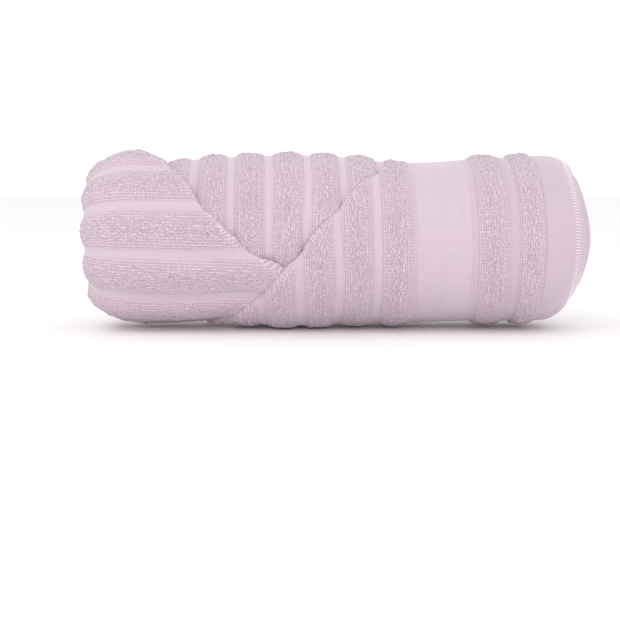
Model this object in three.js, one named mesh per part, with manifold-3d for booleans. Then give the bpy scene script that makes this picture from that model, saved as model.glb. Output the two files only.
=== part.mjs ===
// A bath towel, folded and rolled.
//
// The towel is one woven cloth. It is laid flat and folded three ways:
//   1. one corner is turned over at 45 degrees, so the end hem lies along a side;
//   2. the cloth is folded in half along its length, into a strip half as wide;
//   3. the strip is rolled up from its square end towards the point.
// Two numbers place any spot of the strip: how far along it lies, counted in steps
// from the point, and how far across it lies, in mm from the folded edge.
// Each woven or sewn zone of the cloth is one closed solid, wound where it lies.
// Units are mm, +Z is up, +X runs along the roll, and -Y is the front.

import * as THREE from "three";
import { mergeVertices } from "three/addons/utils/BufferGeometryUtils.js";
import Module from "manifold-3d";

// ---- Sizes of the flat towel ------------------------------------------------
const TOWEL_WIDTH = 762;
const TOWEL_LENGTH = 1372;
const END_HEM = 29; // plain band at each end
const TERRY_BAND = 50; // looped band between the end hem and the border
const BORDER = 49; // flat patterned border
const SIDE_HEM = 12; // narrow hem along each long side
const HEM_THINNER = 0.4; // how much thinner the flat hem is than terry, on each face
const STITCH_INSET = 4; // from the towel's end to the row of stitches
const STITCH_ROW = 4.5; // length of one stitch across the hem

// ---- Sizes of the roll ------------------------------------------------------
const CLOTH = 5.2; // room that one layer takes up in the roll
const CORE_HOLE = 5; // radius of the opening at the centre
const WRAP_TURN = 305; // cloth taken up by one turn of the outer wrap
const PILE = 1.4; // loops that stand proud of the outermost layer
const FOLD_STEP = 6; // height of the folded edge above the turn below it
const PRESSED = 3; // how far the underside is pressed flat
const GAP = 0.3; // clearance between zones that lie side by side
const LAYER_GAP = 0.8; // clearance between zones that lie on each other

// ---- Steps of the grid ------------------------------------------------------
const EDGE_ZONES = [ // from the roll's right end: width of each zone, and its steps
  [SIDE_HEM, 1],
  [END_HEM - SIDE_HEM, 1],
  [TERRY_BAND, 2],
  [BORDER, 2],
];
const FIELD_STEPS = 14; // steps across the rest of the strip
const CROSSING = THREE.MathUtils.degToRad(-25); // where the two diagonal folds cross
const LEAN = 0.2; // how much tighter the wrap lies at the front than at the back
const EDGE_TAPER = [0.35, 0.6, 0.8]; // cloth thins out towards a diagonal fold
const THIN_SHARE = 0.3; // the most that the clearance takes off each face of thin cloth
const TAIL = 0.35; // the flap stops this share of a step before the inner windings

// ---- Worked out from the sizes ----------------------------------------------
const STRIP = TOWEL_WIDTH / 2;
const ROWS = gridRows();
const ACROSS_STEPS = ROWS.length - 1;
const TURN = Math.round((WRAP_TURN * ACROSS_STEPS) / STRIP);
const WRAP_END = 2 * ACROSS_STEPS;
const PITCH = 2 * CLOTH;
const ROLL_RADIUS = Math.hypot(CORE_HOLE, Math.sqrt((PITCH * TOWEL_LENGTH) / Math.PI)) + PILE;
const CENTRE_HEIGHT = ROLL_RADIUS - PRESSED;
const LAYERS = ["under", "flap", "tucked", "turned"]; // from the inside outwards

const wasm = await Module();
wasm.setup();

// Places across the strip where the grid has a line, from the folded edge to the
// right end. The same spacing, mirrored, runs along the strip in the outer wrap.
function gridRows() {
  const rows = [STRIP];
  const addSteps = (width, count) => {
    for (let step = 0; step < count; step += 1) rows.unshift(rows[0] - width / count);
  };
  EDGE_ZONES.forEach(([width, count]) => addSteps(width, count));
  addSteps(rows[0], FIELD_STEPS);
  return rows;
}

// Place across the strip, counted in rows of the grid.
function rowAt(across) {
  const row = ROWS.findLastIndex((line, index) => line <= across + 1e-6 && index < ROWS.length - 1);
  return row + (across - ROWS[row]) / (ROWS[row + 1] - ROWS[row]);
}

// ---- Where the strip lies in the roll -----------------------------------------

// Outer radius of the inner windings after a length of two-layer strip, whose
// middle starts one layer out from the opening at the centre.
function windingRadius(length) {
  return CLOTH + Math.hypot(CORE_HOLE + CLOTH, Math.sqrt((PITCH * length) / Math.PI));
}

const WINDING_RADIUS = windingRadius(TOWEL_LENGTH - TOWEL_WIDTH);

// Outer radius of the inner windings at a step, and the step at a radius.
const windingOuter = (step) => WINDING_RADIUS - (PITCH * (step - WRAP_END)) / TURN;
const windingStep = (radius) => WRAP_END + ((WINDING_RADIUS - radius) * TURN) / PITCH;

// The step that lies a length of cloth away from the towel's inner end.
const stepFromInnerEnd = (length) => windingStep(windingRadius(length));

// Angle around the roll, from the front upwards.
function angleAt(step) {
  const even = CROSSING + ((ACROSS_STEPS - TURN / 2 - step) * 2 * Math.PI) / TURN;
  return even - LEAN * Math.sin(even);
}

// Step at which a layer starts. The under half and the flap start at the first
// diagonal fold, the turned half and its tucked part at the second one.
function startStep(layer, row) {
  return layer === "under" || layer === "flap" ? ACROSS_STEPS - row : ACROSS_STEPS + row;
}

// Share of its full thickness that a layer has at a corner of the grid.
function layerShare(layer, step, row) {
  const inside = step - startStep(layer, row);
  if (inside < 0) return 0;
  return EDGE_TAPER[inside] ?? 1;
}

// Outer radius of the whole roll. It dips beside the first diagonal fold, where
// the turn below comes out from under the folded edge.
function outlineRadius(step, row) {
  const fromFold = (((step - ACROSS_STEPS + row) % TURN) + TURN) % TURN;
  const rise = Math.min(fromFold / 2, 1);
  const dip = Math.exp((fromFold - TURN) / 3);
  return ROLL_RADIUS - FOLD_STEP * Math.max(1 - rise, dip);
}

// Radii of the four layers at every corner of the grid: the layers at one angle
// share the room between the inner windings and the outline.
function windLayers() {
  const radii = new Map();
  for (let row = 0; row <= ACROSS_STEPS; row += 1) {
    for (let first = WRAP_END; first < WRAP_END + TURN; first += 1) {
      const base = windingOuter(first);
      const stack = [];
      for (let step = first - TURN; step >= -TURN; step -= TURN) {
        for (const layer of LAYERS) {
          stack.push({ key: `${layer} ${step} ${row}`, share: layerShare(layer, step, row) });
        }
      }
      const total = stack.reduce((sum, { share }) => sum + share, 0);
      const room = outlineRadius(first, row) - base;
      let below = 0;
      for (const { key, share } of stack) {
        const inner = base + (room * below) / total;
        below += share;
        radii.set(key, [inner, base + (room * below) / total]);
      }
    }
    const middle = windingOuter(WRAP_END) - CLOTH;
    radii.set(`under ${WRAP_END} ${row}`, [middle - CLOTH, middle]);
    radii.set(`flap ${WRAP_END} ${row}`, [middle, middle]);
    radii.set(`tucked ${WRAP_END} ${row}`, [middle, middle]);
    radii.set(`turned ${WRAP_END} ${row}`, [middle, middle + CLOTH]);
  }
  return radii;
}

const WRAP_RADII = windLayers();

// Inner and outer radius of a layer at a whole step and any place across.
function radiiAt(layer, step, across) {
  if (step > WRAP_END) {
    const outer = windingOuter(step) - (layer === "under" ? CLOTH : 0);
    return [outer - CLOTH, outer];
  }
  const place = rowAt(across);
  const row = Math.min(Math.floor(place + 1e-6), ACROSS_STEPS - 1);
  const share = place - row;
  const near = WRAP_RADII.get(`${layer} ${step} ${row}`);
  const far = WRAP_RADII.get(`${layer} ${step} ${row + 1}`);
  return near.map((radius, side) => THREE.MathUtils.lerp(radius, far[side], share));
}

// A point of a layer's inner (side 0) or outer (side 1) face. Between two whole
// steps it lies on the straight line that joins them.
function pointOn({ layer, thinner = 0 }, step, across, side) {
  const before = Math.floor(step + 1e-9);
  const ends = [before, before + 1].map((whole) => {
    const [inner, outer] = radiiAt(layer, Math.min(whole, lastStep(before, step)), across);
    const inset = Math.min(LAYER_GAP / 2 + thinner, THIN_SHARE * (outer - inner));
    const radius = side ? outer - inset : inner + inset;
    const angle = angleAt(whole);
    const height = CENTRE_HEIGHT + radius * Math.sin(angle);
    return new THREE.Vector3(across - STRIP / 2, -radius * Math.cos(angle), height);
  });
  return ends[0].lerp(ends[1], step - before);
}

// Keeps the outer wrap's last step from reading the inner windings beyond it.
const lastStep = (before, step) => (step - before < 1e-6 ? before : before + 1);

// ---- Solids -------------------------------------------------------------------

// Keeps the part of a polygon of [step, across] corners where side(corner) >= 0.
function clip(polygon, side) {
  const kept = [];
  polygon.forEach((corner, index) => {
    const next = polygon[(index + 1) % polygon.length];
    const [here, there] = [side(corner), side(next)];
    if (here >= 0) kept.push(corner);
    if (here * there < 0) {
      const share = here / (here - there);
      kept.push([0, 1].map((axis) => THREE.MathUtils.lerp(corner[axis], next[axis], share)));
    }
  });
  return kept;
}

// Grid cells that a zone covers, cut off along its diagonal edge.
function zoneCells({ layer, across, along }) {
  const [near, far] = across;
  const [from, to] = along;
  const single = from >= WRAP_END;
  const inside = (a) => !single && a > near + 0.5 && a < far - 0.5;
  const lines = [near, ...ROWS.filter(inside), far];
  const cells = [];
  for (let line = 1; line < lines.length; line += 1) {
    const [a0, a1] = [lines[line - 1], lines[line]];
    for (let step = Math.floor(from); step < to; step += 1) {
      const [k0, k1] = [Math.max(step, from), Math.min(step + 1, to)];
      const cell = [[k0, a0], [k1, a0], [k1, a1], [k0, a1]];
      const cut = single ? cell : clip(cell, ([k, a]) => k - startStep(layer, rowAt(a)) + 1e-7);
      if (cut.length > 2) cells.push(cut);
    }
  }
  return cells;
}

// Numbers the corners of a zone's cells. Corners on the zone's straight edges move
// in by half the clearance, and corners that meet share one number.
function numberCorners(cells, [near, far], [from, to]) {
  const trim = (GAP * ACROSS_STEPS) / STRIP;
  const corners = [];
  const numbers = new Map();
  const numberOf = ([step, across]) => {
    const k = THREE.MathUtils.clamp(step, from + trim, to - trim);
    const a = THREE.MathUtils.clamp(across, near + GAP / 2, far - GAP / 2);
    const key = `${k.toFixed(4)} ${a.toFixed(3)}`;
    if (!numbers.has(key)) numbers.set(key, corners.push([k, a]) - 1);
    return numbers.get(key);
  };
  const loops = cells
    .map((cell) => cell.map(numberOf).filter((id, index, all) => id !== all.at(index - 1)))
    .filter((loop) => loop.length > 2);
  return { corners, loops };
}

// Edges that only one loop has: the rim of the zone.
function rimEdges(loops) {
  const rim = new Map();
  for (const loop of loops) {
    loop.forEach((id, index) => {
      const next = loop[(index + 1) % loop.length];
      if (!rim.delete(`${next} ${id}`)) rim.set(`${id} ${next}`, [id, next]);
    });
  }
  return [...rim.values()];
}

// Closed solid of a zone: its inner and outer face, and a wall along the rim.
function zoneGeometry(zone) {
  const { corners, loops } = numberCorners(zoneCells(zone), zone.across, zone.along);
  const faces = [0, 1].map((side) => (
    corners.map(([step, across]) => pointOn(zone, step, across, side))
  ));
  const points = [];
  for (const loop of loops) {
    splitCell(loop, faces[0], true).forEach(([p, q, r]) => {
      points.push(faces[0][p], faces[0][r], faces[0][q]);
    });
    splitCell(loop, faces[1], false).forEach(([p, q, r]) => {
      points.push(faces[1][p], faces[1][q], faces[1][r]);
    });
  }
  for (const [p, q] of rimEdges(loops)) {
    points.push(faces[0][p], faces[1][q], faces[1][p]);
    points.push(faces[0][p], faces[0][q], faces[1][q]);
  }
  return new THREE.BufferGeometry().setFromPoints(points);
}

// Splits a cell into triangles. A four-cornered cell bulges outwards on an inner
// face and sags inwards on an outer one, so two layers never cut into each other.
function splitCell(loop, points, bulges) {
  if (loop.length === 4) {
    const reach = (p, q) => {
      const middle = points[loop[p]].clone().lerp(points[loop[q]], 0.5);
      return Math.hypot(middle.y, middle.z - CENTRE_HEIGHT);
    };
    const [p, q, r, s] = loop;
    return reach(0, 2) > reach(1, 3) === bulges ? [[p, q, r], [p, r, s]] : [[q, r, s], [q, s, p]];
  }
  return loop.slice(2).map((id, index) => [loop[0], loop[index + 1], id]);
}

function toSolid(geometry) {
  ["normal", "uv"].forEach((name) => geometry.deleteAttribute(name));
  const merged = mergeVertices(geometry, 1e-4);
  return new wasm.Manifold(new wasm.Mesh({
    numProp: 3,
    vertProperties: new Float32Array(merged.attributes.position.array),
    triVerts: new Uint32Array(merged.index.array),
  }));
}

function toGeometry(solid) {
  const mesh = solid.getMesh();
  const geometry = new THREE.BufferGeometry();
  geometry.setAttribute("position", new THREE.BufferAttribute(mesh.vertProperties, 3));
  geometry.setIndex(new THREE.BufferAttribute(mesh.triVerts, 1));
  geometry.computeVertexNormals();
  return geometry;
}

// Everything below the surface that the roll lies on.
function belowSurface() {
  const box = new THREE.BoxGeometry(2 * STRIP, 4 * ROLL_RADIUS, 2 * ROLL_RADIUS);
  box.translate(0, 0, -ROLL_RADIUS);
  return toSolid(box);
}

// ---- The towel ------------------------------------------------------------------
const TERRY = { color: 0xd6c1ce, roughness: 0.95 };
const FLAT_WEAVE = { color: 0xe2d0dd, roughness: 0.85 };
const THREAD = { color: 0xefe4ec, roughness: 0.7 };

const towel = new THREE.Group();
const surface = belowSurface();

function addZone(name, look, zone) {
  const solid = toSolid(zoneGeometry(zone)).subtract(surface);
  const material = new THREE.MeshStandardMaterial({ ...look, metalness: 0 });
  const mesh = new THREE.Mesh(toGeometry(solid), material);
  mesh.name = name;
  towel.add(mesh);
}

// The turned-over corner lies outermost, and its woven bands run around the roll.
function addCornerFlap() {
  const hemEdge = STRIP - END_HEM;
  const bandEdge = hemEdge - TERRY_BAND;
  const borderEdge = bandEdge - BORDER;
  const sideHem = WRAP_END - 1;
  const along = [0, sideHem];
  addZone("corner_flap_terry", TERRY, { layer: "flap", across: [0, borderEdge], along });
  addZone("outer_border", FLAT_WEAVE, { layer: "flap", across: [borderEdge, bandEdge], along });
  addZone("outer_terry_band", TERRY, { layer: "flap", across: [bandEdge, hemEdge], along });
  addEndHem(hemEdge, [1, sideHem]);
  const tail = [sideHem, WRAP_END - TAIL];
  addZone("corner_flap_side_hem", FLAT_WEAVE, { layer: "flap", across: [0, STRIP], along: tail });
  addZone("tucked_terry", TERRY, { layer: "tucked", across: [0, STRIP], along });
}

// The end hem, with the sewn row between its plain band and its edge.
function addEndHem(hemEdge, along) {
  const rowFar = STRIP - STITCH_INSET;
  const rowNear = rowFar - STITCH_ROW;
  const hem = { layer: "flap", along, thinner: HEM_THINNER };
  addZone("outer_end_hem", FLAT_WEAVE, { ...hem, across: [hemEdge, rowNear] });
  addZone("outer_hem_edge", FLAT_WEAVE, { ...hem, across: [rowFar, STRIP] });
  addZone("outer_hem_stitches", THREAD, { ...hem, across: [rowNear, rowFar] });
}

// The two halves of the strip run on into the inner windings, to the inner end.
function addHalf(half, layer) {
  const hem = stepFromInnerEnd(END_HEM);
  const band = stepFromInnerEnd(END_HEM + TERRY_BAND);
  const border = stepFromInnerEnd(END_HEM + TERRY_BAND + BORDER);
  const end = stepFromInnerEnd(0);
  const across = [0, STRIP - SIDE_HEM];
  addZone(`${half}_wrap_terry`, TERRY, { layer, across, along: [0, WRAP_END] });
  addZone(`${half}_inner_terry`, TERRY, { layer, across, along: [WRAP_END, border] });
  addZone(`${half}_inner_border`, FLAT_WEAVE, { layer, across, along: [border, band] });
  addZone(`${half}_inner_terry_band`, TERRY, { layer, across, along: [band, hem] });
  addZone(`${half}_inner_end_hem`, FLAT_WEAVE, { layer, across, along: [hem, end] });
  const edge = [STRIP - SIDE_HEM, STRIP];
  addZone(`${half}_side_hem`, FLAT_WEAVE, { layer, across: edge, along: [WRAP_END, end] });
}

addCornerFlap();
addHalf("under_half", "under");
addHalf("turned_half", "turned");
const wrapEdge = { layer: "under", across: [STRIP - SIDE_HEM, STRIP], along: [0, WRAP_END] };
addZone("under_half_wrap_side_hem", FLAT_WEAVE, wrapEdge);

export default towel;
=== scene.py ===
# %% [markdown]
# # A rolled bath towel
# A terry towel is one woven sheet. Somebody turned one corner over, folded the sheet
# in half along its length, and rolled it up. The roll could be sculpted by eye or left
# to a cloth simulation, but neither keeps every rib and hem in its true place. So this
# notebook does what the hands did, with numbers. It starts from a flat grid, folds it,
# winds it, gives it thickness, and only then looks after yarn, loops and stitches.

import math

import bpy
import numpy as np
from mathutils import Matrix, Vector


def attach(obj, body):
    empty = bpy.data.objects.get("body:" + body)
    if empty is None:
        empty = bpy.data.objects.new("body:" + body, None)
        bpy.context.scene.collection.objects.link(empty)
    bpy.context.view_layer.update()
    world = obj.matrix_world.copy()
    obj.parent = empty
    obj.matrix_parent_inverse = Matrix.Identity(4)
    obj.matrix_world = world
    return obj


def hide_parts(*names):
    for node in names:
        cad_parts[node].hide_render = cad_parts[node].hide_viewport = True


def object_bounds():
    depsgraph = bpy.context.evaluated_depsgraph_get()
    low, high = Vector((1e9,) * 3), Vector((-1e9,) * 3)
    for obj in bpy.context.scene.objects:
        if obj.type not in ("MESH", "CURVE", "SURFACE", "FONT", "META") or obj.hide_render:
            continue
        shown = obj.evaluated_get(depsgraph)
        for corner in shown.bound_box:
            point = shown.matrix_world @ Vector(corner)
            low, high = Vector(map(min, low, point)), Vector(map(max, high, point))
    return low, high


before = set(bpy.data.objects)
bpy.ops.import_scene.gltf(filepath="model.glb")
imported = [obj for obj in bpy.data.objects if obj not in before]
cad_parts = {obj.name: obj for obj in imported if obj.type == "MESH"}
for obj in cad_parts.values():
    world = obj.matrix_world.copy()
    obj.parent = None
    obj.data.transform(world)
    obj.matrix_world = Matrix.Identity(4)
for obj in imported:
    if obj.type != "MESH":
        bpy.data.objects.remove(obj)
cad_box = [list(corner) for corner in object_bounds()]
low, high = (np.array(corner) for corner in cad_box)
foot = np.array([(low[0] + high[0]) / 2, (low[1] + high[1]) / 2, low[2]])
print("CAD box", cad_box, "foot", foot)

# %% [markdown]
# ## The flat towel
# A common bath towel is 30 by 54 inches. `along` runs from one end hem to the other,
# and `across` from side to side. Ribs of loops run across the towel, with narrow flat
# gaps between them. Each end has a hem, a terry band and a flat border with a diamond
# weave. All lengths here are in millimetres, the unit a weaver would use, and they
# become metres only when the cloth is placed.

# %% Sizes of the flat towel
MM = 0.001
WIDTH = 762.0
LENGTH = 1372.0
STRIP = WIDTH / 2  # width of the strip once it is folded in half
END_HEM = 29.0
FIRST_GAP = (48.0, 54.5)  # flat gap in the terry band beside the hem
BORDER = (79.0, 128.0)
BORDER_WEAVE = (84.0, 124.0)  # the part of the border with diamonds
RIB_PITCH = 29.53
RIB_GAP = 6.0
FIRST_RIB = 128.0
SIDE_HEM = 11.0
print("flat towel", WIDTH, "by", LENGTH, "mm, ribs every", RIB_PITCH, "mm")

# %% [markdown]
# ## A grid of threads
# Real cloth is threads that cross, so a grid is its natural mesh. The grid is fine
# where the cloth ends up outside, finer still at the rim of the inner end, and coarse
# in the hidden core, which keeps the file light. Two arrays hold the flat place of
# every grid point. Everything that follows is a formula of those two arrays, so the
# whole towel is worked out at once.

# %% Flat grid
FINE = 1.55
COARSE = 4.5
HEM_STEP = 2.0
RIM_STEP, RIM_WIDTH = 0.7, 4.0
SHOWN_LENGTH = 735.0  # cloth beyond this is hidden inside the roll


def evenly(start, end, step):
    count = max(2, round((end - start) / step))
    return np.linspace(start, end, count, endpoint=False)


along_lines = np.concatenate([
    evenly(0.0, SHOWN_LENGTH, FINE),
    evenly(SHOWN_LENGTH, LENGTH - END_HEM, COARSE),
    evenly(LENGTH - END_HEM, LENGTH - RIM_WIDTH, HEM_STEP),
    evenly(LENGTH - RIM_WIDTH, LENGTH, RIM_STEP),
    [LENGTH],
])
across_lines = np.concatenate([evenly(0.0, WIDTH, FINE), [WIDTH]])
along, across = np.meshgrid(along_lines, across_lines, indexing="ij")
from_end = np.minimum(along, LENGTH - along)
from_side = np.minimum(across, WIDTH - across)
print("grid", along.shape)

# %% [markdown]
# ## Folding
# Two folds make the strip. They could be hinges in the mesh, but a fold on paper is
# simpler: it only renames places. The corner fold is the line where `along + across`
# equals the towel's width, and cloth before it is turned over, which swaps the two
# directions. The second fold halves the width. After both, a point is known by
# `reach`, its distance along the strip from the point, by `side`, its distance from
# the folded edge, and by its layer, counted from the roll's centre outwards.

# %% Fold the sheet
UNDER, FLAP, TUCKED, TURNED = range(4)
turned_over = along + across <= WIDTH
reach = np.where(turned_over, WIDTH - across, along)
spread = np.where(turned_over, WIDTH - along, across) - STRIP
side = np.abs(spread)
layer = np.where(
    turned_over,
    np.where(spread >= 0, FLAP, TUCKED),
    np.where(spread >= 0, UNDER, TURNED),
)
from_corner_fold = np.abs(along + across - WIDTH) / math.sqrt(2)
print("points in each layer", [int((layer == n).sum()) for n in range(4)])

# %% [markdown]
# ## Winding
# A roll turns faster where its radius is small. A spiral formula would do for paper,
# but a towel's outer turns are looser than its core, so the winding is added up in
# small steps instead. `turn_length` says how much strip one radian takes up at each
# place. The strip lies a little tighter at the back than at the front, where it rests
# and bulges, so `leaned` eases the angle with a sine.

# %% Winding angle
ROOM = 5.2  # room that one layer takes up in the roll
HOLE = 5.0  # radius of the opening along the middle
TURN = 2 * math.pi
CROSSING_REACH = 226.0  # where the two diagonal folds cross, along the strip
CROSSING_ANGLE = math.radians(-23.4)  # and how far below the front's middle
LEAN = 0.15
WRAP_RATE = 43.1  # strip in one radian of the loose outer turns
WRAP_GROWTH = 0.0092
TABLE_START, TABLE_PLACES = -400.0, 4000


def core_middle(x):
    """Radius of the middle of the two-layer strip in the inner turns."""
    left = np.clip(LENGTH - x, 0, None)
    return np.sqrt((HOLE + ROOM) ** 2 + 2 * ROOM * left / math.pi)


def turn_length(x):
    wrap = WRAP_RATE + WRAP_GROWTH * (WIDTH - x)
    return np.where(x < WIDTH, wrap, core_middle(x))


reach_table = np.linspace(TABLE_START, LENGTH, TABLE_PLACES)
rate = 1 / turn_length(reach_table)
turned = (rate[1:] + rate[:-1]) / 2 * np.diff(reach_table)
wound = np.concatenate([[0], np.cumsum(turned)])
wound_table = CROSSING_ANGLE + np.interp(CROSSING_REACH, reach_table, wound) - wound


def winding(x):
    return np.interp(x, reach_table, wound_table)


def reach_at(angle):
    return np.interp(angle, wound_table[::-1], reach_table[::-1])


def leaned(angle):
    return angle - LEAN * np.sin(angle)


print("turns", round(float(winding(0.0) - winding(LENGTH)) / TURN, 2))

# %% [markdown]
# ## The two diagonal folds
# On the rolled towel two slanting edges meet at the front: the corner fold, and the
# edge where the folded half begins. Both lie at 45 degrees on the flat strip. While it
# was rolled, cloth slid a little, so the second edge isn't straight any more. A slide
# could be pushed into the finished mesh, but then the layers below wouldn't know of
# it. Here it belongs to the fold line, so thickness and edge move together.

# %% Where the folds lie
SLIP = -11.0  # how far the second edge has slid
SLIP_MIDDLE = math.radians(28)
SLIP_SPAN = math.radians(40)
SLIP_END, SLIP_END_WIDTH = math.radians(-12), math.radians(9)
CATCH = 10.0  # where it catches under the first edge


def smooth_step(x, width):
    """0 to 1, rising softly over `width` around x = 0."""
    t = np.clip(x / width * 0.5 + 0.5, 0, 1)
    return t * t * (3 - 2 * t)


def fold_slip(x):
    """How far the second diagonal has slid sideways while being rolled."""
    shown_angle = winding(x) + TURN
    from_middle = (shown_angle - SLIP_MIDDLE) / SLIP_SPAN
    clear_of_flap = smooth_step(shown_angle - SLIP_END, SLIP_END_WIDTH)
    pulled_back = CATCH * np.exp(-(((shown_angle - SLIP_END) / SLIP_END_WIDTH + 1) ** 2))
    return SLIP * np.exp(-from_middle**2) * clear_of_flap + pulled_back


def inside_corner_fold(x, a):
    return (x - (STRIP - a)) / math.sqrt(2)


def inside_half_fold(x, a):
    return (x - (STRIP + a - fold_slip(x))) / math.sqrt(2)


slide = fold_slip(reach_table)
print("slide", round(float(slide.min()), 1), "to", round(float(slide.max()), 1), "mm")

# %% [markdown]
# ## Layers on layers
# Where the corner lies on the strip there are four layers, elsewhere two, and they
# start along the two diagonals. Stacking every layer at full thickness would make the
# roll too fat, because soft cloth gives way. So the outermost turn keeps its true
# thickness, and the turns inside it share the room that is left. A layer is pinched
# thin beside its own folded edge.

# %% How much of each layer lies at a place
EDGE_SQUEEZE, SQUEEZE_REACH = 0.6, 30.0
BURIED_EDGE = 25.0  # a fold inside the roll fades in over this length
BURIED_CORNER = 20.0


def pinched(distance):
    """Thickness share of a layer at a distance from its folded edge."""
    return 1 - (1 - EDGE_SQUEEZE) * np.exp(-np.abs(distance) / SQUEEZE_REACH)


def shares(x, a, soft):
    """Thickness share of each layer at a place of the strip."""
    first, second = inside_corner_fold(x, a), inside_half_fold(x, a)
    if soft:
        one, two = smooth_step(first, BURIED_EDGE), smooth_step(second, BURIED_EDGE)
        end = smooth_step(WIDTH - x, BURIED_CORNER)
    else:
        one = np.where(first >= 0, pinched(first), 0.0)
        two = np.where(second >= 0, pinched(second), 0.0)
        end = np.where(x <= WIDTH, 1.0, 0.0)
    return np.stack([one, one * end, two * end, two])


print("share beside a fold", pinched(0.0), "and far from it", round(float(pinched(200.0)), 2))

# %% [markdown]
# ## The outside of the roll
# The outside isn't a true cylinder. It dips beside each fold, where a turn comes out
# from under the edge. Dents could be added to the finished mesh, but as a radius the
# dip moves all the layers below with it, and they stay clear of each other.

# %% Radius of the outside
FACE_RADIUS = 69.0
CORNER_DIP, HALF_DIP, FLAP_DIP = 5.4, 5.0, 2.5
DIP_REACH = 46.0
DIP_RADIUS = 50.0  # turns an angle before the corner fold into a length


def face_radius(x, a, turns_in):
    """Radius of the outer face of the outermost turn."""
    before_corner = (1 - turns_in) * 2 * math.pi * DIP_RADIUS / math.sqrt(2)
    before_half = -inside_half_fold(x, a)
    dip = CORNER_DIP * np.exp(-np.clip(before_corner, 0, None) / DIP_REACH)
    half_dip = HALF_DIP * np.exp(-np.abs(before_half) / DIP_REACH)
    dip = dip + np.where(before_half >= 0, half_dip, 0)
    flap_edge = np.clip(inside_corner_fold(x, a), 0, None)
    dip = dip + FLAP_DIP * np.exp(-flap_edge / DIP_REACH)
    return FACE_RADIUS - dip


at_fold = face_radius(np.array(STRIP), np.array(0.0), np.array(1.0))
print("radius at the corner fold", round(float(at_fold), 1), "of", FACE_RADIUS)

# %% [markdown]
# ## Where a layer lies
# To place a point, its turn is counted inwards from the corner fold. The outside
# radius above it is known, and so is the core below it. The turns between them get
# equal parts of what is left, and a layer lies as deep as the layers over it. A
# simulation would find such a balance by pushing, and this finds it by sharing.

# %% Radius of every layer
MOST_TURNS = 8
LEAST_SHARE = 1e-6  # keeps a division safe where nothing lies below


def core_inner(x):
    return core_middle(x) - ROOM


def layer_radius(x, a, which):
    """Radius of the middle of a layer, for whole arrays of places."""
    angle = winding(x)
    fold_angle = winding(STRIP - a)
    turns_in = (fold_angle - angle) / TURN
    turn = np.clip(np.floor(turns_in), 0, None)
    outer_angle = angle + turn * TURN
    outer_x = reach_at(outer_angle)
    face = face_radius(outer_x, a, turns_in - turn)
    outer_shares = shares(outer_x, a, soft=False)
    base = face - ROOM * outer_shares.sum(0)
    total = np.zeros_like(x)
    above = np.zeros_like(x)
    last = outer_x.copy()
    for step in range(1, MOST_TURNS + 1):
        step_angle = outer_angle - step * TURN
        step_x = reach_at(step_angle)
        there = step_angle >= wound_table[-1]
        share = shares(step_x, a, soft=True).sum(0) * there
        total += share
        above += np.where(step < turn, share, 0)
        last = np.where(there, step_x, last)
    own = np.where(turn == 0, outer_shares, shares(x, a, soft=True))
    depth = np.zeros_like(x)
    for upper in range(TURNED, UNDER - 1, -1):
        depth += np.where(upper > which, own[upper], 0)
        depth += np.where(upper == which, own[upper] / 2, 0)
    scale = (base - core_inner(last)) / np.maximum(total, LEAST_SHARE)
    deeper = base - scale * (above + depth)
    return np.where(turn == 0, face - ROOM * depth, deeper)


on_half_fold = (layer == TUCKED) | (layer == TURNED)
slid = np.clip(side / np.maximum(reach - STRIP, 1.0), 0, 1) ** 2
side_now = side + np.where(on_half_fold, fold_slip(reach) * slid, 0.0)
radius = layer_radius(reach, side_now, layer)
print("radius", round(float(radius.min()), 1), "to", round(float(radius.max()), 1), "mm")

# %% [markdown]
# ## Round folds
# Cloth never folds to a knife edge. A bevel would round a crease in the mesh, but it
# would also stretch the weave. Here the two layers swing together along a half circle
# whose radius is half their distance, and the cloth used up in the bend is taken back
# from the edge. The same recipe serves the corner fold and the lengthwise fold.

# %% Bend the cloth round its folds
FOLD_FADE = 40.0
TIGHTEST_FOLD, WIDEST_FOLD = 1.2, 12.0


def bend(distance, half):
    """How far a layer has swung out, and how far its edge has moved."""
    turn_part = np.minimum(distance / half, math.pi / 2)
    swing = np.sin(turn_part)
    curved = half * (1 - np.cos(turn_part)) - distance
    straight = (1 - math.pi / 2) * half
    straight = straight * np.exp(-(distance - math.pi / 2 * half) / FOLD_FADE)
    shift = np.where(distance < math.pi / 2 * half, curved, straight)
    return swing, shift


corner_partner = np.choose(layer, [FLAP, UNDER, TURNED, TUCKED])
partner_radius = layer_radius(reach, side_now, corner_partner)
half = np.maximum(np.abs(radius - partner_radius) / 2, TIGHTEST_FOLD)
swing, shift = bend(from_corner_fold, half)
middle = (radius + partner_radius) / 2
radius = middle + (radius - middle) * swing
reach_bent = reach + shift / math.sqrt(2)
side_bent = side_now + shift / math.sqrt(2) * np.where(on_half_fold, -1, 1)
print("largest shift at the corner fold", round(float(np.abs(shift).max()), 2), "mm")

# %% Bend it round the lengthwise fold
length_partner = np.choose(layer, [TURNED, TUCKED, FLAP, UNDER])
partner_radius = layer_radius(reach, side_now, length_partner)
half = np.clip(np.abs(radius - partner_radius) / 2, TIGHTEST_FOLD, WIDEST_FOLD)
swing, shift = bend(side, half)
middle = (radius + partner_radius) / 2
radius = middle + (radius - middle) * swing
side_bent = side_bent + shift
pushed_in = np.where((layer == FLAP) | (layer == TUCKED), ROOM, 0.0)
side_bent = side_bent + pushed_in * np.exp(-side / FOLD_FADE)
print("largest shift at the lengthwise fold", round(float(np.abs(shift).max()), 2), "mm")

# %% [markdown]
# ## Creep and twist
# The turns creep sideways as a towel is rolled, so the turn below sticks out at the
# right end. The hands also wind the left end a little further than the right one. An
# even shift of every turn would look machine made, so the inner turns wander too.

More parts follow.
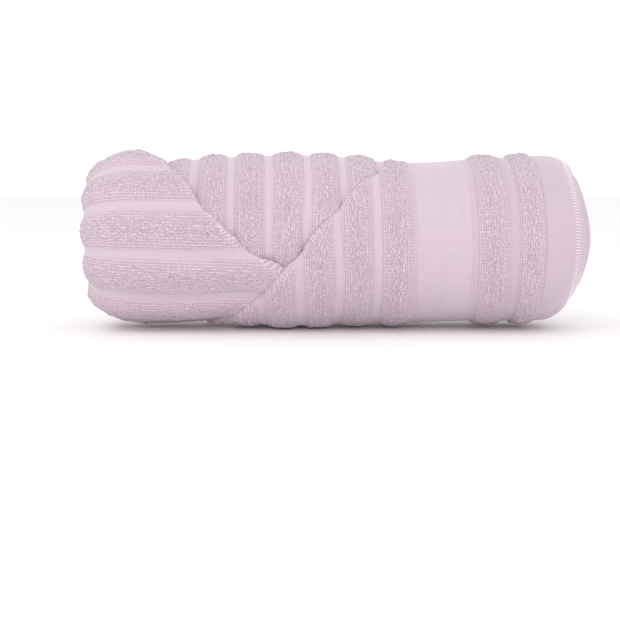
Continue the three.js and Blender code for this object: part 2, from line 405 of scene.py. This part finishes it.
# %% Let the turns creep and twist
CREEP, CREEP_TURNS = 6.0, 2.0
INNER_CREEP, INNER_CREEP_RATE = 1.2, 2.1
TWIST, TWIST_REACH = 0.07, 130.0

turns_from_point = (winding(0.0) - winding(reach)) / TURN
creep = CREEP * np.minimum(turns_from_point, CREEP_TURNS) - CREEP
inner_creep = INNER_CREEP * np.sin(turns_from_point * INNER_CREEP_RATE)
creep = creep + inner_creep * (turns_from_point > CREEP_TURNS)
angle = leaned(winding(reach_bent)) + TWIST * np.clip(1 - side_bent / TWIST_REACH, 0, 1)
print("creep", round(float(creep.min()), 1), "to", round(float(creep.max()), 1), "mm")

# %% [markdown]
# ## The two ends
# Nothing holds the cloth at the ends of the roll, so its edge closes in there, most of
# all at the lower right. Near the left end it also bulges and droops at the top, where
# the folds are thick. A lattice or sculpt strokes could do this, but soft humps of
# the radius are easier to set and to read.

# %% Round, bulge and droop the ends
LEFT_ROUND, LEFT_LOSS = 36.0, 0.17
RIGHT_ROUND, RIGHT_LOSS = 26.0, 0.11
RIGHT_SAG, SAG_START, SAG_SPAN = 0.19, 0.35, 0.6
BULGE, BULGE_SIDE, BULGE_WIDTH, BULGE_TURN = 3.0, 31.0, 17.0, 0.45
DROOP, DROOP_SIDE, DROOP_WIDTH, DROOP_TURN = 4.2, 53.0, 15.0, 0.5
TOP_ANGLE = math.radians(96)
CORE_RADIUS, OUTSIDE_SPAN = 20.0, 45.0

near_left = np.clip(1 - side_bent / LEFT_ROUND, 0, 1) ** 2
near_right = np.clip(1 - (STRIP - side_bent) / RIGHT_ROUND, 0, 1) ** 3
sag = RIGHT_LOSS + RIGHT_SAG * smooth_step(-np.sin(angle) - SAG_START, SAG_SPAN)
radius = radius * (1 - LEFT_LOSS * near_left - sag * near_right)
from_top = np.angle(np.exp(1j * (angle - TOP_ANGLE)))
bulge = ((side_bent - BULGE_SIDE) / BULGE_WIDTH) ** 2
bulge = np.exp(-bulge - (from_top / BULGE_TURN) ** 2)
droop = ((side_bent - DROOP_SIDE) / DROOP_WIDTH) ** 2
droop = np.exp(-droop - (from_top / DROOP_TURN) ** 2)
outer_part = np.clip((radius - CORE_RADIUS) / OUTSIDE_SPAN, 0, 1)
radius = radius + outer_part * (BULGE * bulge - DROOP * droop)
print("radius with round ends", round(float(radius.max()), 1), "mm at most")

# %% [markdown]
# ## Full and slack
# The roll is fullest left of its middle, where most layers lie, and slack under the
# flat border. Between the two, soft cloth is never quite even. A noise texture could
# dent it, but two slow waves that cross do it without any random numbers.

# %% Make the roll full and slack
BELLY, BELLY_SIDE = 2.8, 160.0
SLACK, SLACK_SIDE, SLACK_SPAN = 4.0, 275.0, 0.8
FULLNESS_WIDTH = 42.0
SOFTNESS, SOFT_WAVE, SOFT_CROSS_WAVE = 1.0, 24.0, 41.0

belly = np.exp(-(((side_bent - BELLY_SIDE) / FULLNESS_WIDTH) ** 2))
slack = np.exp(-(((side_bent - SLACK_SIDE) / FULLNESS_WIDTH) ** 2))
slack = slack * smooth_step(np.sin(angle), SLACK_SPAN)
radius = radius + outer_part * (BELLY * belly - SLACK * slack)
softness = np.sin(side_bent / SOFT_WAVE + 2 * angle + 1)
softness = softness * np.sin(3 * angle - side_bent / SOFT_CROSS_WAVE)
radius = radius + outer_part * SOFTNESS * softness
print("radius of the soft roll", round(float(radius.max()), 1), "mm at most")

# %% [markdown]
# ## Into space
# Angle and radius become a place. The left edge and the nose of the right end push out
# a little. The underside is pressed gently flat on the surface: a hard clip would
# leave a sharp line there, and a soft one rounds it off.

# %% Place the middle of the cloth
PRESSED_IN = 1.0
CENTRE_HEIGHT = FACE_RADIUS - PRESSED_IN + BELLY
PRESS_SOFTNESS = 1.6
LEFT_PUSH, LEFT_PUSH_REACH = 3.4, 26.0
RIGHT_PUSH, RIGHT_PUSH_REACH, NOSE_POWER = 3.0, 22.0, 6

sideways = side_bent + creep - LEFT_PUSH * np.exp(-side_bent / LEFT_PUSH_REACH)
nose = np.exp(-(STRIP - side_bent) / RIGHT_PUSH_REACH)
nose = nose * np.clip(np.cos(angle), 0, 1) ** NOSE_POWER
sideways = sideways + RIGHT_PUSH * nose


def press(height):
    return PRESS_SOFTNESS * np.logaddexp(0, height / PRESS_SOFTNESS)


x = sideways - STRIP / 2
y = -radius * np.cos(angle)
z = CENTRE_HEIGHT + radius * np.sin(angle)
spine = np.stack([x, y, z], -1)
print("spine box", spine.reshape(-1, 3).min(0), spine.reshape(-1, 3).max(0))

# %% [markdown]
# ## Ribs and gaps
# Across each rib the pile swells to a soft round back. The hems, the gaps and the
# border have no loops and stay thin. Bump in the material could suggest the ribs, but
# they show in the outline of the roll, so they have to be real thickness. `pile_at`
# is 0 on flat weave and rises to 1 on top of a rib.

# %% Where the loops stand
RIB_SQUARENESS, RIB_FULLNESS = 2.6, 0.62
BAND_RIBS = ((END_HEM, FIRST_GAP[0]), (FIRST_GAP[1], BORDER[0]))


def rib_shape(place_in_rib):
    t = np.clip(np.abs(2 * place_in_rib - 1), 0, 1)
    return (1 - t ** RIB_SQUARENESS) ** RIB_FULLNESS


def pile_at(p):
    """Height of the loops along the towel, the same from either end."""
    p = np.minimum(p, LENGTH - p)
    ribs = np.zeros_like(p)
    for start, end in BAND_RIBS:
        inside = (p > start) & (p < end)
        ribs = np.where(inside, rib_shape((p - start) / (end - start)), ribs)
    place_in_pitch = (p - FIRST_RIB) % RIB_PITCH
    rib_width = RIB_PITCH - RIB_GAP
    inside = (p > FIRST_RIB) & (place_in_pitch < rib_width)
    return np.where(inside, rib_shape(place_in_pitch / rib_width), ribs)


looped = pile_at(along_lines) > 0
print("looped share of the length", round(float(looped.mean()), 2))

# %% [markdown]
# ## Uneven loops
# No two loops are alike, and the edge of a rib is never quite straight. A texture with
# displacement could roughen the mesh, but it would have to be read back for the
# stitches. A lattice of seeded random heights gives the same towel every time, and
# every later formula can use it.

# %% Random unevenness
LATTICE_SEED = 7
WOBBLE_SIZE, WOBBLE = 38.0, 1.1  # of the ribs' edges
WOBBLE_START, WOBBLE_SPAN = 15.0, 30.0
LOOP_SIZE, LOOP_HEIGHT = 2.1, 0.45
TUFT_SIZE, TUFT_HEIGHT = 9.0, 0.28
random = np.random.default_rng(LATTICE_SEED)


def lattice_noise(size, offset):
    """Smooth random heights on a square lattice, read at every grid point."""
    rows = int(LENGTH / size) + 3
    columns = int(WIDTH / size) + 3
    values = random.standard_normal((rows, columns))
    u, v = along / size + offset, across / size
    u = np.clip(u, 0, rows - 1.001)
    i, j = np.floor(u).astype(int), np.floor(v).astype(int)
    fu, fv = u - i, v - j
    fu, fv = fu * fu * (3 - 2 * fu), fv * fv * (3 - 2 * fv)
    j = np.clip(j, 0, columns - 2)
    i = np.clip(i, 0, rows - 2)
    near = values[i, j] * (1 - fv) + values[i, j + 1] * fv
    far = values[i + 1, j] * (1 - fv) + values[i + 1, j + 1] * fv
    return near * (1 - fu) + far * fu


wobble = lattice_noise(WOBBLE_SIZE, 0.3) * WOBBLE
wobble = wobble * smooth_step(from_end - FIRST_RIB - WOBBLE_START, WOBBLE_SPAN)
loops = lattice_noise(LOOP_SIZE, 0.4) * LOOP_HEIGHT
loops = loops + lattice_noise(TUFT_SIZE, 0.2) * TUFT_HEIGHT
print("rib edges wander", round(float(np.abs(wobble).max()), 1), "mm at most")
print("loops differ by", round(float(loops.std()), 2), "mm")

# %% [markdown]
# ## Thickness
# A solidify modifier gives one thickness everywhere, but a towel is thick on its ribs,
# thin in its gaps, doubled in its hems and round at its rim. So the half thickness is
# one more formula of the flat place.

# %% Thickness of the cloth
FLAT_HALF, RIB_HALF = 1.0, 3.0
HEM_EXTRA, HEM_EDGE, SIDE_HEM_EDGE = 0.45, 3.0, 2.0
RIM_ROUND, RIM_LEAST = 1.6, 0.02

off_side_hem = smooth_step(from_side - SIDE_HEM, SIDE_HEM_EDGE)
pile = pile_at(along + wobble) * off_side_hem
rim = np.sqrt(np.clip(np.minimum(from_side, from_end) / RIM_ROUND, RIM_LEAST, 1))
hem = np.maximum((1 - smooth_step(from_end - END_HEM, HEM_EDGE)), 1 - off_side_hem)
thickness = (FLAT_HALF + HEM_EXTRA * hem + (RIB_HALF - FLAT_HALF) * pile) * rim
print("half thickness", round(float(thickness.min()), 2), round(float(thickness.max()), 2))

# %% [markdown]
# ## Two faces
# The direction square to the cloth comes from two neighbouring threads. Both faces
# are offset along it. Loops on the face that shows stand a little prouder than the
# ones that are squeezed inside the roll, so first the shown face has to be found.

# %% Find the face that shows
FLAP_MARGIN = 3  # the flap still shows this far under the second fold


def unit(vectors):
    return vectors / np.maximum(np.linalg.norm(vectors, axis=-1, keepdims=True), 1e-9)


along_step = np.gradient(spine, axis=0)
across_step = np.gradient(spine, axis=1)
normal = unit(np.cross(along_step, across_step))
outward = np.stack([np.zeros_like(angle), -np.cos(angle), np.sin(angle)], -1)
faces_out = np.where((normal * outward).sum(-1) >= 0, 1.0, -1.0)
turns_in = (winding(STRIP - side) - winding(reach)) / TURN
flap_clear = inside_half_fold(reach, side) < FLAP_MARGIN
flap_shows = (layer == FLAP) & flap_clear & (turns_in < 1)
shows = ((layer == TURNED) & (turns_in < 1)) | flap_shows
print("shown share", round(float(shows.mean()), 3))

# %% Offset the two faces
SHOWN_SWELL = 0.3
SHOWN_LOOPS, HIDDEN_LOOPS = 1.0, 0.5


def face_points(sign):
    shown = shows & (faces_out == sign)
    loop_part = np.where(shown, SHOWN_LOOPS, HIDDEN_LOOPS)
    lift = thickness * (1 + SHOWN_SWELL * shown * pile) + loops * pile * loop_part
    points = spine + sign * normal * lift[..., None]
    points[..., 2] = press(points[..., 2])
    return points * MM + foot


front = face_points(1.0)
back = face_points(-1.0)
print("points on each face", front.shape[0] * front.shape[1])

# %% [markdown]
# ## The mesh
# The two faces are joined around the rim, so the cloth is one closed sheet, as the
# real one is. Going through bmesh face by face would be slow for a grid this fine, so
# the arrays are handed to the mesh whole.

# %% Mesh helpers
def grid_faces(offset, flip):
    rows, columns = along.shape
    index = np.arange(rows * columns).reshape(rows, columns) + offset
    quads = np.stack([index[:-1, :-1], index[1:, :-1], index[1:, 1:], index[:-1, 1:]], -1)
    quads = quads.reshape(-1, 4)
    return quads[:, ::-1] if flip else quads


def rim_faces(offset):
    rows, columns = along.shape
    index = np.arange(rows * columns).reshape(rows, columns)
    sides = [index[0, :-1], index[:-1, -1], index[-1, :0:-1], index[:0:-1, 0]]
    loop = np.concatenate(sides)
    after = np.roll(loop, -1)
    return np.stack([loop, after, after + offset, loop + offset], -1)


def new_mesh(name, points, quads):
    mesh = bpy.data.meshes.new(name)
    mesh.vertices.add(len(points))
    mesh.vertices.foreach_set("co", points.astype(np.float32).ravel())
    mesh.loops.add(quads.size)
    mesh.loops.foreach_set("vertex_index", quads.astype(np.int32).ravel())
    mesh.polygons.add(len(quads))
    mesh.polygons.foreach_set("loop_start", np.arange(0, quads.size, 4, dtype=np.int32))
    mesh.update(calc_edges=True)
    mesh.validate()
    mesh.shade_smooth()
    obj = bpy.data.objects.new(name, mesh)
    bpy.context.scene.collection.objects.link(obj)
    return obj


print("faces round the rim", len(rim_faces(0)))

# %% Build the towel
count = along.size
points = np.concatenate([front.reshape(-1, 3), back.reshape(-1, 3)])
quads = np.concatenate([grid_faces(0, False), grid_faces(count, True), rim_faces(count)])
towel = new_mesh("towel", points, quads)
print("towel faces", len(towel.data.polygons))

# %% [markdown]
# ## Marks on the cloth
# The material has to know the flat place of every point. Unwrapping the roll could
# never find it again, but the arrays still hold it. They go on the mesh as three
# attributes, and the UV map is the flat towel itself, its two faces side by side.

# %% Mark the flat place
UV_FILL, UV_GAP = 0.97, 0.01


def add_values(name, values):
    both = np.concatenate([values.ravel(), values.ravel()]).astype(np.float32)
    towel.data.attributes.new(name, "FLOAT", "POINT").data.foreach_set("value", both)


add_values("along", along)
add_values("across", across)
add_values("pile", pile)

uv_scale = UV_FILL / max(LENGTH, 2 * WIDTH)
flat = np.stack([across * uv_scale, along * uv_scale], -1).reshape(-1, 2)
both_faces = np.concatenate([flat, flat + [WIDTH * uv_scale + UV_GAP, 0]])
corner_vertex = np.empty(len(towel.data.loops), np.int32)
towel.data.loops.foreach_get("vertex_index", corner_vertex)
flat_map = towel.data.uv_layers.new(name="OFBake")
flat_map.uv.foreach_set("vector", both_faces[corner_vertex].astype(np.float32).ravel())
print("marks", [mark.name for mark in towel.data.attributes if mark.name in
                ("along", "across", "pile", "OFBake")])

# %% [markdown]
# ## Materials
# The colour is a pale lavender pink. An image of terry would blur close up and repeat,
# so the yarn is drawn with shader nodes. They read the flat place of the cloth, not
# its place in the room, and so the weave follows every fold. A few short helpers keep
# the node wiring readable.

# %% Node helpers
CLOTH_SHEEN_ROUGHNESS = 0.6
CLOTH_SPECULAR = 0.15


def new_material(name, roughness, sheen):
    material = bpy.data.materials.new(name)
    material.use_nodes = True
    shader = material.node_tree.nodes["Principled BSDF"]
    shader.inputs["Roughness"].default_value = roughness
    shader.inputs["Sheen Weight"].default_value = sheen
    shader.inputs["Sheen Roughness"].default_value = CLOTH_SHEEN_ROUGHNESS
    shader.inputs["Specular IOR Level"].default_value = CLOTH_SPECULAR
    return material, material.node_tree, shader


def node(tree, kind, **values):
    made = tree.nodes.new(kind)
    for key, value in values.items():
        if hasattr(made, key):
            setattr(made, key, value)
        else:
            made.inputs[key].default_value = value
    return made


def maths(tree, operation, first, second=0.0):
    made = node(tree, "ShaderNodeMath", operation=operation)
    for socket, value in zip(made.inputs, (first, second)):
        if isinstance(value, (int, float)):
            socket.default_value = value
        else:
            tree.links.new(value, socket)
    return made.outputs[0]


def mixed(tree, amount, first, second):
    made = node(tree, "ShaderNodeMix", data_type="RGBA")
    tree.links.new(amount, made.inputs["Factor"])
    for socket, value in ((made.inputs[6], first), (made.inputs[7], second)):
        if isinstance(value, tuple):
            socket.default_value = (*value, 1.0)
        else:
            tree.links.new(value, socket)
    return made.outputs[2]


cloth, tree, shader = new_material("terry_cloth", roughness=0.95, sheen=0.4)
print("started", cloth.name)

# %% [markdown]
# ## Reading the flat towel
# Terry and flat weave are one cloth, so they share one material. Its inputs are the
# three marks. `scaled` and `wave` are the two shapes that everything else is made of:
# a straight line kept between 0 and 1, and a sine of a length in millimetres.

# %% Read the flat place
def value_of(name):
    return node(tree, "ShaderNodeAttribute", attribute_name=name).outputs["Fac"]


across_value, along_value = value_of("across"), value_of("along")
pile_value = value_of("pile")
flat_place = node(tree, "ShaderNodeCombineXYZ")
tree.links.new(across_value, flat_place.inputs[0])
tree.links.new(along_value, flat_place.inputs[1])
flat_place = flat_place.outputs[0]


def noise(size, **values):
    made = node(tree, "ShaderNodeTexNoise", Scale=1 / size, **values)
    tree.links.new(flat_place, made.inputs["Vector"])
    return made.outputs[0]


def scaled(factor, by, offset, clamp=True):
    """factor * by + offset, kept between 0 and 1 if clamped."""
    made = node(tree, "ShaderNodeMath", operation="MULTIPLY_ADD", use_clamp=clamp)
    tree.links.new(factor, made.inputs[0])
    made.inputs[1].default_value = by
    made.inputs[2].default_value = offset
    return made.outputs[0]


def wave(value, period, wander=None):
    """A sine of a length in millimetres, from 0 to 1."""
    phase = maths(tree, "MULTIPLY", value, TURN / period)
    if wander is not None:
        phase = maths(tree, "ADD", phase, wander)
    return scaled(maths(tree, "SINE", phase), 0.5, 0.5)


print("cloth nodes", len(tree.nodes))

# %% [markdown]
# ## Loops
# Loops stand in rows at the rim of a rib and curl freely on its back. Plain noise would
# look like felt, and plain rows like corduroy. So two sines make the rows and the loops
# in them, and noise pushes both about, more so where the pile is high.

# %% Draw the loops
ROW_PITCH, LOOP_PITCH = 1.8, 2.2
ROW_WANDER_SIZE, LOOP_WANDER_SIZE, FIBRE_SIZE = 2.7, 2.3, 0.6
FREEDOM_POWER, FREEDOM, LEAST_FREEDOM, LOOP_FREEDOM = 5.0, 13.0, 2.0, 6.0
ROW_PART, LOOP_PART, FIBRE_PART = 0.62, 0.38, 0.3

row_wander = noise(ROW_WANDER_SIZE, Detail=1.0, Roughness=0.5)
loop_wander = noise(LOOP_WANDER_SIZE, Detail=1.0, Roughness=0.5)
fibres = noise(FIBRE_SIZE, Detail=3.0, Roughness=0.7)
high_pile = maths(tree, "POWER", pile_value, FREEDOM_POWER)
row_freedom = scaled(high_pile, FREEDOM, LEAST_FREEDOM, clamp=False)
loop_freedom = maths(tree, "ADD", row_freedom, LOOP_FREEDOM)
row_phase = maths(tree, "MULTIPLY", maths(tree, "SUBTRACT", row_wander, 0.5), row_freedom)
loop_phase = maths(tree, "SUBTRACT", loop_wander, 0.5)
loop_phase = maths(tree, "MULTIPLY", loop_phase, loop_freedom)
rows = maths(tree, "MULTIPLY", wave(along_value, ROW_PITCH, row_phase), ROW_PART)
in_row = maths(tree, "MULTIPLY", wave(across_value, LOOP_PITCH, loop_phase), LOOP_PART)
loop_height = maths(tree, "ADD", rows, in_row)
loop_height = maths(tree, "ADD", loop_height, maths(tree, "MULTIPLY", fibres, FIBRE_PART))
print("loops every", LOOP_PITCH, "mm in rows every", ROW_PITCH, "mm")

# %% [markdown]
# ## Flat weave
# The gaps and hems are plain weave: one sine across times one along. The border has
# small diamonds, which are two slanting sines multiplied. Threads could be modelled
# one by one, but there would be far too many, and at this size bump looks the same.

# %% Draw the flat weave
WEAVE_ACROSS, WEAVE_ALONG = 0.9, 1.2
DIAMOND_PITCH, DIAMOND_SLANT = 2.6, 0.8
WEAVE_PART, DIAMOND_PART = 0.6, 1.4
SEAM_WIDTH = 1.1


def band_mask(near, far):
    """1 inside a band counted from either end of the towel."""
    other_end = maths(tree, "SUBTRACT", LENGTH, along_value)
    nearest = maths(tree, "MINIMUM", along_value, other_end)
    above = maths(tree, "GREATER_THAN", nearest, near)
    below = maths(tree, "LESS_THAN", nearest, far)
    return maths(tree, "MULTIPLY", above, below)


threads = (wave(across_value, WEAVE_ACROSS), wave(along_value, WEAVE_ALONG))
plain_weave = maths(tree, "MULTIPLY", *threads)
slanted = maths(tree, "MULTIPLY", across_value, DIAMOND_SLANT)
rising = wave(maths(tree, "ADD", slanted, along_value), DIAMOND_PITCH)
falling = wave(maths(tree, "SUBTRACT", along_value, slanted), DIAMOND_PITCH)
diamonds = maths(tree, "MULTIPLY", rising, falling)
diamonds = maths(tree, "MULTIPLY", band_mask(*BORDER_WEAVE), diamonds)
# The narrow band along the hem line that gets painted shade.
in_seam = band_mask(END_HEM - SEAM_WIDTH / 2, END_HEM + SEAM_WIDTH / 2)
flat_height = maths(tree, "ADD", maths(tree, "MULTIPLY", plain_weave, WEAVE_PART),
                    maths(tree, "MULTIPLY", diamonds, DIAMOND_PART))
print("cloth nodes", len(tree.nodes))

# %% [markdown]
# ## Colour of the cloth
# Loops look darker between their tops, because light is lost between them. Flat weave
# looks lighter and smoother, and the end beyond the ribs a shade deeper. One colour
# with bump would miss this. The colour therefore follows the same heights as the
# bump, with broad, faint patches like those of a washed towel.

# %% Colour the cloth
TERRY_TOP = (0.705, 0.566, 0.636)
TERRY_DEEP = (0.475, 0.350, 0.424)
FLAT_TOP = (0.672, 0.556, 0.628)
FLAT_DEEP = (0.460, 0.355, 0.420)
LOOP_CONTRAST, LOOP_DARK = 1.1, -0.25
FLAT_CONTRAST, FLAT_LIGHT, END_DIM = 0.6, 0.4, 0.2
PILE_EDGE = 3.0
PATCH_SIZE, PATCH_DEPTH, PATCH_LEAST = 45.0, 0.12, 0.94
# Painted shade: the hem line is darkened by this factor, for the shadow in the groove where
# the hem ends.
SEAM_PAINTED_SHADE = 0.84

is_pile = scaled(pile_value, PILE_EDGE, 0.0)
loop_light = scaled(loop_height, LOOP_CONTRAST, LOOP_DARK)
terry_colour = mixed(tree, loop_light, TERRY_DEEP, TERRY_TOP)
end_dim = maths(tree, "MULTIPLY", band_mask(-1.0, FIRST_RIB), END_DIM)
flat_light = scaled(flat_height, FLAT_CONTRAST, FLAT_LIGHT)
flat_light = maths(tree, "SUBTRACT", flat_light, end_dim)
flat_colour = mixed(tree, flat_light, FLAT_DEEP, FLAT_TOP)
colour = mixed(tree, is_pile, flat_colour, terry_colour)
patches = scaled(noise(PATCH_SIZE, Detail=2.0), PATCH_DEPTH, PATCH_LEAST)
# Painted shade: a thin dark band along the hem line stands for the groove's shadow, which is
# too fine for the mesh.
seam_painted_shade = scaled(in_seam, SEAM_PAINTED_SHADE - 1, 1.0)
shade = node(tree, "ShaderNodeVectorMath", operation="SCALE")
tree.links.new(colour, shade.inputs[0])
tree.links.new(maths(tree, "MULTIPLY", patches, seam_painted_shade), shade.inputs["Scale"])
tree.links.new(shade.outputs[0], shader.inputs["Base Color"])
print("terry from", TERRY_DEEP, "to", TERRY_TOP)

# %% [markdown]
# ## Relief of the yarn
# Loops two millimetres wide are too small for the mesh. Displacement could raise them
# at a great cost, and bump gives the same light and shadow at this size.

# %% Raise the yarn
FLAT_RELIEF = 0.16
RELIEF_STRENGTH, RELIEF_DEPTH = 0.9, 0.0009

pile_height = maths(tree, "MULTIPLY", loop_height, is_pile)
flat_relief = maths(tree, "MULTIPLY", flat_height, FLAT_RELIEF)
height = maths(tree, "ADD", pile_height, flat_relief)
bump = node(tree, "ShaderNodeBump", Strength=RELIEF_STRENGTH, Distance=RELIEF_DEPTH)
tree.links.new(height, bump.inputs["Height"])
tree.links.new(bump.outputs[0], shader.inputs["Normal"])
towel.data.materials.append(cloth)
print("cloth nodes", len(tree.nodes))

# %% [markdown]
# ## Stitches
# The end hems are sewn with short bars of thread that lie across the hem line. Drawn in
# the material they would look printed, so each bar is a small bowed capsule. It rides
# on the finished face of the cloth: its ends are flat places, and the face's own
# points say where those places are now.

# %% Find a place on a face
def read_grid(points, p, q):
    """Point of a face at flat places, between the four nearest grid points."""
    i = np.clip(np.searchsorted(along_lines, p) - 1, 0, len(along_lines) - 2)
    j = np.clip(np.searchsorted(across_lines, q) - 1, 0, len(across_lines) - 2)
    fp = (p - along_lines[i]) / (along_lines[i + 1] - along_lines[i])
    fq = (q - across_lines[j]) / (across_lines[j + 1] - across_lines[j])
    fp, fq = fp[..., None], fq[..., None]
    near = points[i, j] * (1 - fq) + points[i, j + 1] * fq
    far = points[i + 1, j] * (1 - fq) + points[i + 1, j + 1] * fq
    return near * (1 - fp) + far * fp


corner_now = read_grid(front, np.array([END_HEM]), np.array([STRIP]))
print("middle of the end hem now lies at", corner_now.round(3).tolist())

# %% Make one bar of thread
THREAD_RADIUS = 0.42
THREAD_SIDES, THREAD_RINGS = 6, 6
BOW_HEIGHT, BOW_SUNK = 0.45, 0.25  # in thread radii, how a bar bows up from sunk ends
TIP_GIRTH = 0.25


def sew(points, inner, p0, p1, q0, q1):
    """Bars of thread from flat places (p0, q0) to (p1, q1), as mesh arrays."""
    t = np.linspace(0, 1, THREAD_RINGS)[None, :]
    p = p0[:, None] * (1 - t) + p1[:, None] * t
    q = q0[:, None] * (1 - t) + q1[:, None] * t
    on_face = read_grid(points, p, q)
    lift = unit(on_face - read_grid(inner, p, q))
    forward = unit(np.gradient(on_face, axis=1))
    aside = unit(np.cross(forward, lift))
    bow = np.sin(math.pi * t)[..., None] ** 0.5
    centre = on_face + lift * (bow * BOW_HEIGHT - BOW_SUNK) * THREAD_RADIUS * MM
    girth = (TIP_GIRTH + (1 - TIP_GIRTH) * bow) * THREAD_RADIUS * MM
    turn = np.arange(THREAD_SIDES) / THREAD_SIDES * TURN
    ring = (
        aside[:, :, None] * np.cos(turn)[:, None]
        + lift[:, :, None] * np.sin(turn)[:, None]
    )
    return centre[:, :, None] + ring * girth[:, :, None]


def stitch_quads(stitches):
    index = np.arange(stitches * THREAD_RINGS * THREAD_SIDES)
    index = index.reshape(stitches, THREAD_RINGS, THREAD_SIDES)
    turned = np.roll(index, -1, axis=2)
    sides = np.stack([index[:, :-1], turned[:, :-1], turned[:, 1:], index[:, 1:]], -1)
    caps = []
    for ring, flip in ((index[:, 0], True), (index[:, -1], False)):
        pair = [ring[:, [0, 1, 2, 3]], ring[:, [0, 3, 4, 5]]]
        caps += [quad[:, ::-1] if flip else quad for quad in pair]
    return np.concatenate([sides.reshape(-1, 4), *caps])


print("faces in one bar", len(stitch_quads(1)))

# %% Sew the hems
STITCH_FROM, STITCH_TO = 3.6, 8.4
STITCH_PITCH = 2.1
FIRST_STITCH = 1.5


def sewn_row(name, rows):
    made = np.concatenate([sew(*row) for row in rows])
    return new_mesh(name, made.reshape(-1, 3), stitch_quads(len(made)))


def end_hem_row(near, far):
    q = np.arange(FIRST_STITCH, WIDTH - FIRST_STITCH, STITCH_PITCH)
    start, end = np.full_like(q, near), np.full_like(q, far)
    return [(front, back, start, end, q, q), (back, front, start, end, q, q)]


outer_stitches = sewn_row("outer_hem_stitching", end_hem_row(STITCH_FROM, STITCH_TO))
inner_ends = end_hem_row(LENGTH - STITCH_TO, LENGTH - STITCH_FROM)
inner_stitches = sewn_row("inner_hem_stitching", inner_ends)
print("stitch faces", len(outer_stitches.data.polygons), len(inner_stitches.data.polygons))

# %% [markdown]
# ## Sewing thread
# The thread is smooth spun yarn, lighter than the loops because nothing shades it. A
# plain colour would do from afar, but up close fine waves show its twist.

# %% Spin the thread
THREAD_COLOUR = (0.80, 0.70, 0.765, 1.0)
PLY_SCALE, PLY_STRENGTH, PLY_DEPTH = 900.0, 0.3, 0.0002

thread_finish = dict(roughness=0.6, sheen=0.4)
thread, thread_tree, thread_shader = new_material("sewing_thread", **thread_finish)
thread_shader.inputs["Base Color"].default_value = THREAD_COLOUR
plies = node(thread_tree, "ShaderNodeTexWave", Scale=PLY_SCALE)
ply_bump = node(thread_tree, "ShaderNodeBump", Strength=PLY_STRENGTH, Distance=PLY_DEPTH)
thread_tree.links.new(plies.outputs["Fac"], ply_bump.inputs["Height"])
thread_tree.links.new(ply_bump.outputs[0], thread_shader.inputs["Normal"])
for row in (outer_stitches, inner_stitches):
    row.data.materials.append(thread)
print("thread nodes", len(thread_tree.nodes))

# %% [markdown]
# ## Tie the looks to the frame
# The cloth stands for every woven zone of the CAD part, and the thread for the sewn
# row. Each zone could get its own sheet, but seams would then show where the real
# cloth has none.

# %% Ride and replace
woven = [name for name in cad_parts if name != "outer_hem_stitches"]
for piece in (towel, outer_stitches, inner_stitches):
    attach(piece, "root")
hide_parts(*woven)
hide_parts("outer_hem_stitches")
print("the towel stands for", len(woven), "woven zones")

# %% [markdown]
# ## Camera
# The camera stands about arm's length away, a little above the roll's middle, and
# looks slightly down past it. A constraint could aim it at the roll, but the view
# isn't centred on the roll, so a place and a pitch are simpler.

# %% Set up the camera
CAMERA_DISTANCE, CAMERA_RISE, CAMERA_ASIDE = 0.93, 0.052, -0.0176
CAMERA_PITCH = math.radians(-6.7)
SENSOR, LENS = 36.0, 66.716129  # in millimetres

camera_data = bpy.data.cameras.new("camera")
camera_data.sensor_width = SENSOR
camera_data.lens = LENS
camera = bpy.data.objects.new("camera", camera_data)
axis = Vector(foot) + Vector((0, 0, CENTRE_HEIGHT * MM))
camera.location = axis + Vector((CAMERA_ASIDE, -CAMERA_DISTANCE, CAMERA_RISE))
camera.rotation_euler = (math.pi / 2 + CAMERA_PITCH, 0, 0)
bpy.context.scene.collection.objects.link(camera)
bpy.context.scene.camera = camera
print("camera", list(camera.location), "lens", round(camera_data.lens, 1))

# %% [markdown]
# ## Floor
# Towels are shown in white, airy rooms. A curved backdrop would hide the horizon, but
# a wide pale floor is plainer and takes the soft shadow under the roll.

# %% Lay the floor
FLOOR_SIDE = 12.0
FLOOR_COLOUR = (0.955, 0.95, 0.95, 1.0)

bpy.ops.mesh.primitive_plane_add(size=FLOOR_SIDE, location=(0, 0, 0))
floor = bpy.context.object
floor.name = "floor"
floor_paint, _, floor_shader = new_material("floor_paint", roughness=0.9, sheen=0.0)
floor_shader.inputs["Base Color"].default_value = FLOOR_COLOUR
floor.data.materials.append(floor_paint)
print("floor", FLOOR_SIDE, "m wide")

# %% [markdown]
# ## Light
# Terry needs light from the side to show its loops and light from the front to stay
# pale. One hard lamp would give black gaps between the ribs. A large soft light hangs
# above and in front, a second one fills from low down, and an even world does the rest.

# %% Hang the lights
KEY_LIGHT = dict(size=1.4, power=6.0, location=(-0.7, -1.1, 1.5), aim=(0, 0, 0.07))
FILL_LIGHT = dict(size=1.6, power=15.0, location=(0.2, -1.9, 0.25), aim=(0, 0, 0.02))
WORLD_COLOUR, WORLD_STRENGTH = (1.0, 0.99, 1.0, 1), 1.02


def area_light(name, size, power, location, aim):
    data = bpy.data.lights.new(name, "AREA")
    data.shape = "SQUARE"
    data.size = size
    data.energy = power
    light = bpy.data.objects.new(name, data)
    light.location = location
    direction = Vector(aim) - light.location
    light.rotation_euler = direction.to_track_quat("-Z", "Y").to_euler()
    bpy.context.scene.collection.objects.link(light)


area_light("key", **KEY_LIGHT)
area_light("fill", **FILL_LIGHT)
world = bpy.data.worlds.new("studio")
world.use_nodes = True
background = world.node_tree.nodes["Background"]
background.inputs["Color"].default_value = WORLD_COLOUR
background.inputs["Strength"].default_value = WORLD_STRENGTH
bpy.context.scene.world = world
bpy.context.scene.view_settings.view_transform = "Standard"
